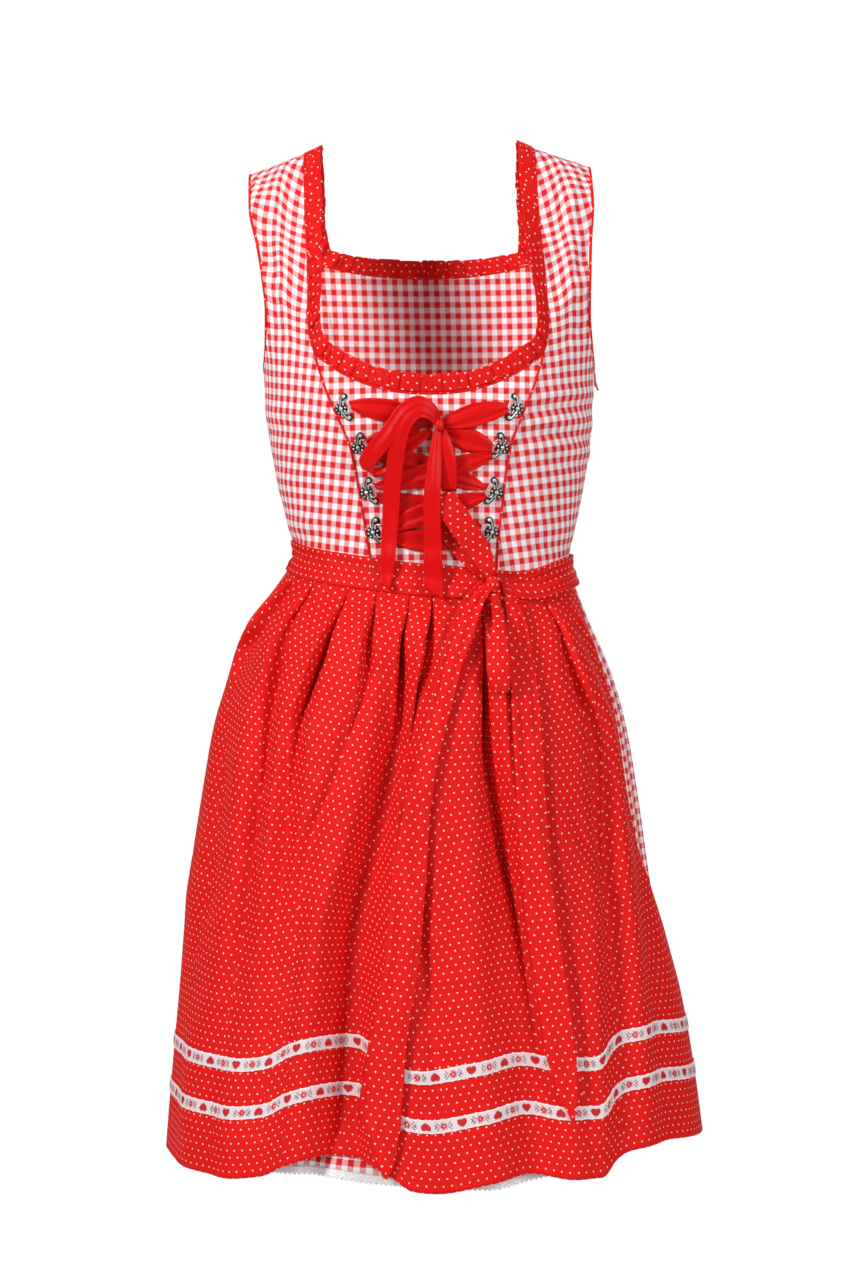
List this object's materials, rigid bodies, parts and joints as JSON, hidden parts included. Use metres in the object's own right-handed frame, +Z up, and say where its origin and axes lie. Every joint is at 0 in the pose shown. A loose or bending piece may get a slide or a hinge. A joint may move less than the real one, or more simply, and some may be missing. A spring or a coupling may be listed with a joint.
{
  "type": "dirndl dress",
  "caption": "Knee-length folk dress: fitted gingham bodice with frilled scoop neck and laced front, gathered gingham skirt, and a dotted apron tied at the front.",
  "frame": {"origin": "between the two shoulder seams, at the level where the wearer's shoulders carry the dress", "axes": "+X to the wearer's left, -Y to the front, +Z up"},
  "size_m": [0.4979, 0.416, 0.9488],
  "materials": {
    "gingham_cotton": "5 mm red and white woven gingham cotton, matt",
    "dotted_cotton": "bright red printed cotton with small off-white dots, matt",
    "red_piping": "bias-cut red cotton over a cord",
    "red_satin_ribbon": "red polyester satin, glossy along the weft",
    "white_cotton_lace": "white scalloped cotton lace",
    "woven_ribbon_trim": "woven ribbon, pinkish white with red hearts and flowers and grey-green leaves",
    "antique_silver": "cast, darkened in the recesses"
  },
  "bodies": {
    "root": {"apron_panel": "dotted_cotton", "apron_tie_strap": "dotted_cotton", "apron_trim_lower": "woven_ribbon_trim", "apron_trim_upper": "woven_ribbon_trim", "apron_waistband": "dotted_cotton", "armhole_piping_left": "red_piping", "armhole_piping_right": "red_piping", "bodice_back": "gingham_cotton", "bodice_front_centre": "gingham_cotton", "bodice_front_left": "gingham_cotton", "bodice_front_right": "gingham_cotton", "bow_knot": "red_satin_ribbon", "bow_loop_left": "red_satin_ribbon", "bow_loop_right": "red_satin_ribbon", "bow_tail_centre": "red_satin_ribbon", "bow_tail_right": "red_satin_ribbon", "hem_lace_back": "white_cotton_lace", "hem_lace_front": "white_cotton_lace", "hook_left_1": "antique_silver", "hook_left_2": "antique_silver", "hook_left_3": "antique_silver", "hook_left_4": "antique_silver", "hook_right_1": "antique_silver", "hook_right_2": "antique_silver", "hook_right_3": "antique_silver", "hook_right_4": "antique_silver", "lace_bottom": "red_satin_ribbon", "lace_cross_lower_a": "red_satin_ribbon", "lace_cross_lower_b": "red_satin_ribbon", "lace_cross_upper_a": "red_satin_ribbon", "lace_cross_upper_b": "red_satin_ribbon", "lace_second_left": "red_satin_ribbon", "lace_second_right": "red_satin_ribbon", "lace_top_left": "red_satin_ribbon", "lace_top_right": "red_satin_ribbon", "neck_frill_back": "dotted_cotton", "neck_frill_front": "dotted_cotton", "neck_piping": "red_piping", "seam_piping_left": "red_piping", "seam_piping_right": "red_piping", "side_opening_cord": "red_piping", "skirt_back": "gingham_cotton", "skirt_front": "gingham_cotton", "tie_knot": "dotted_cotton", "tie_loop_down": "dotted_cotton", "tie_loop_up": "dotted_cotton", "tie_tail_long": "dotted_cotton", "tie_tail_side": "dotted_cotton"}
  },
  "joints": []
}
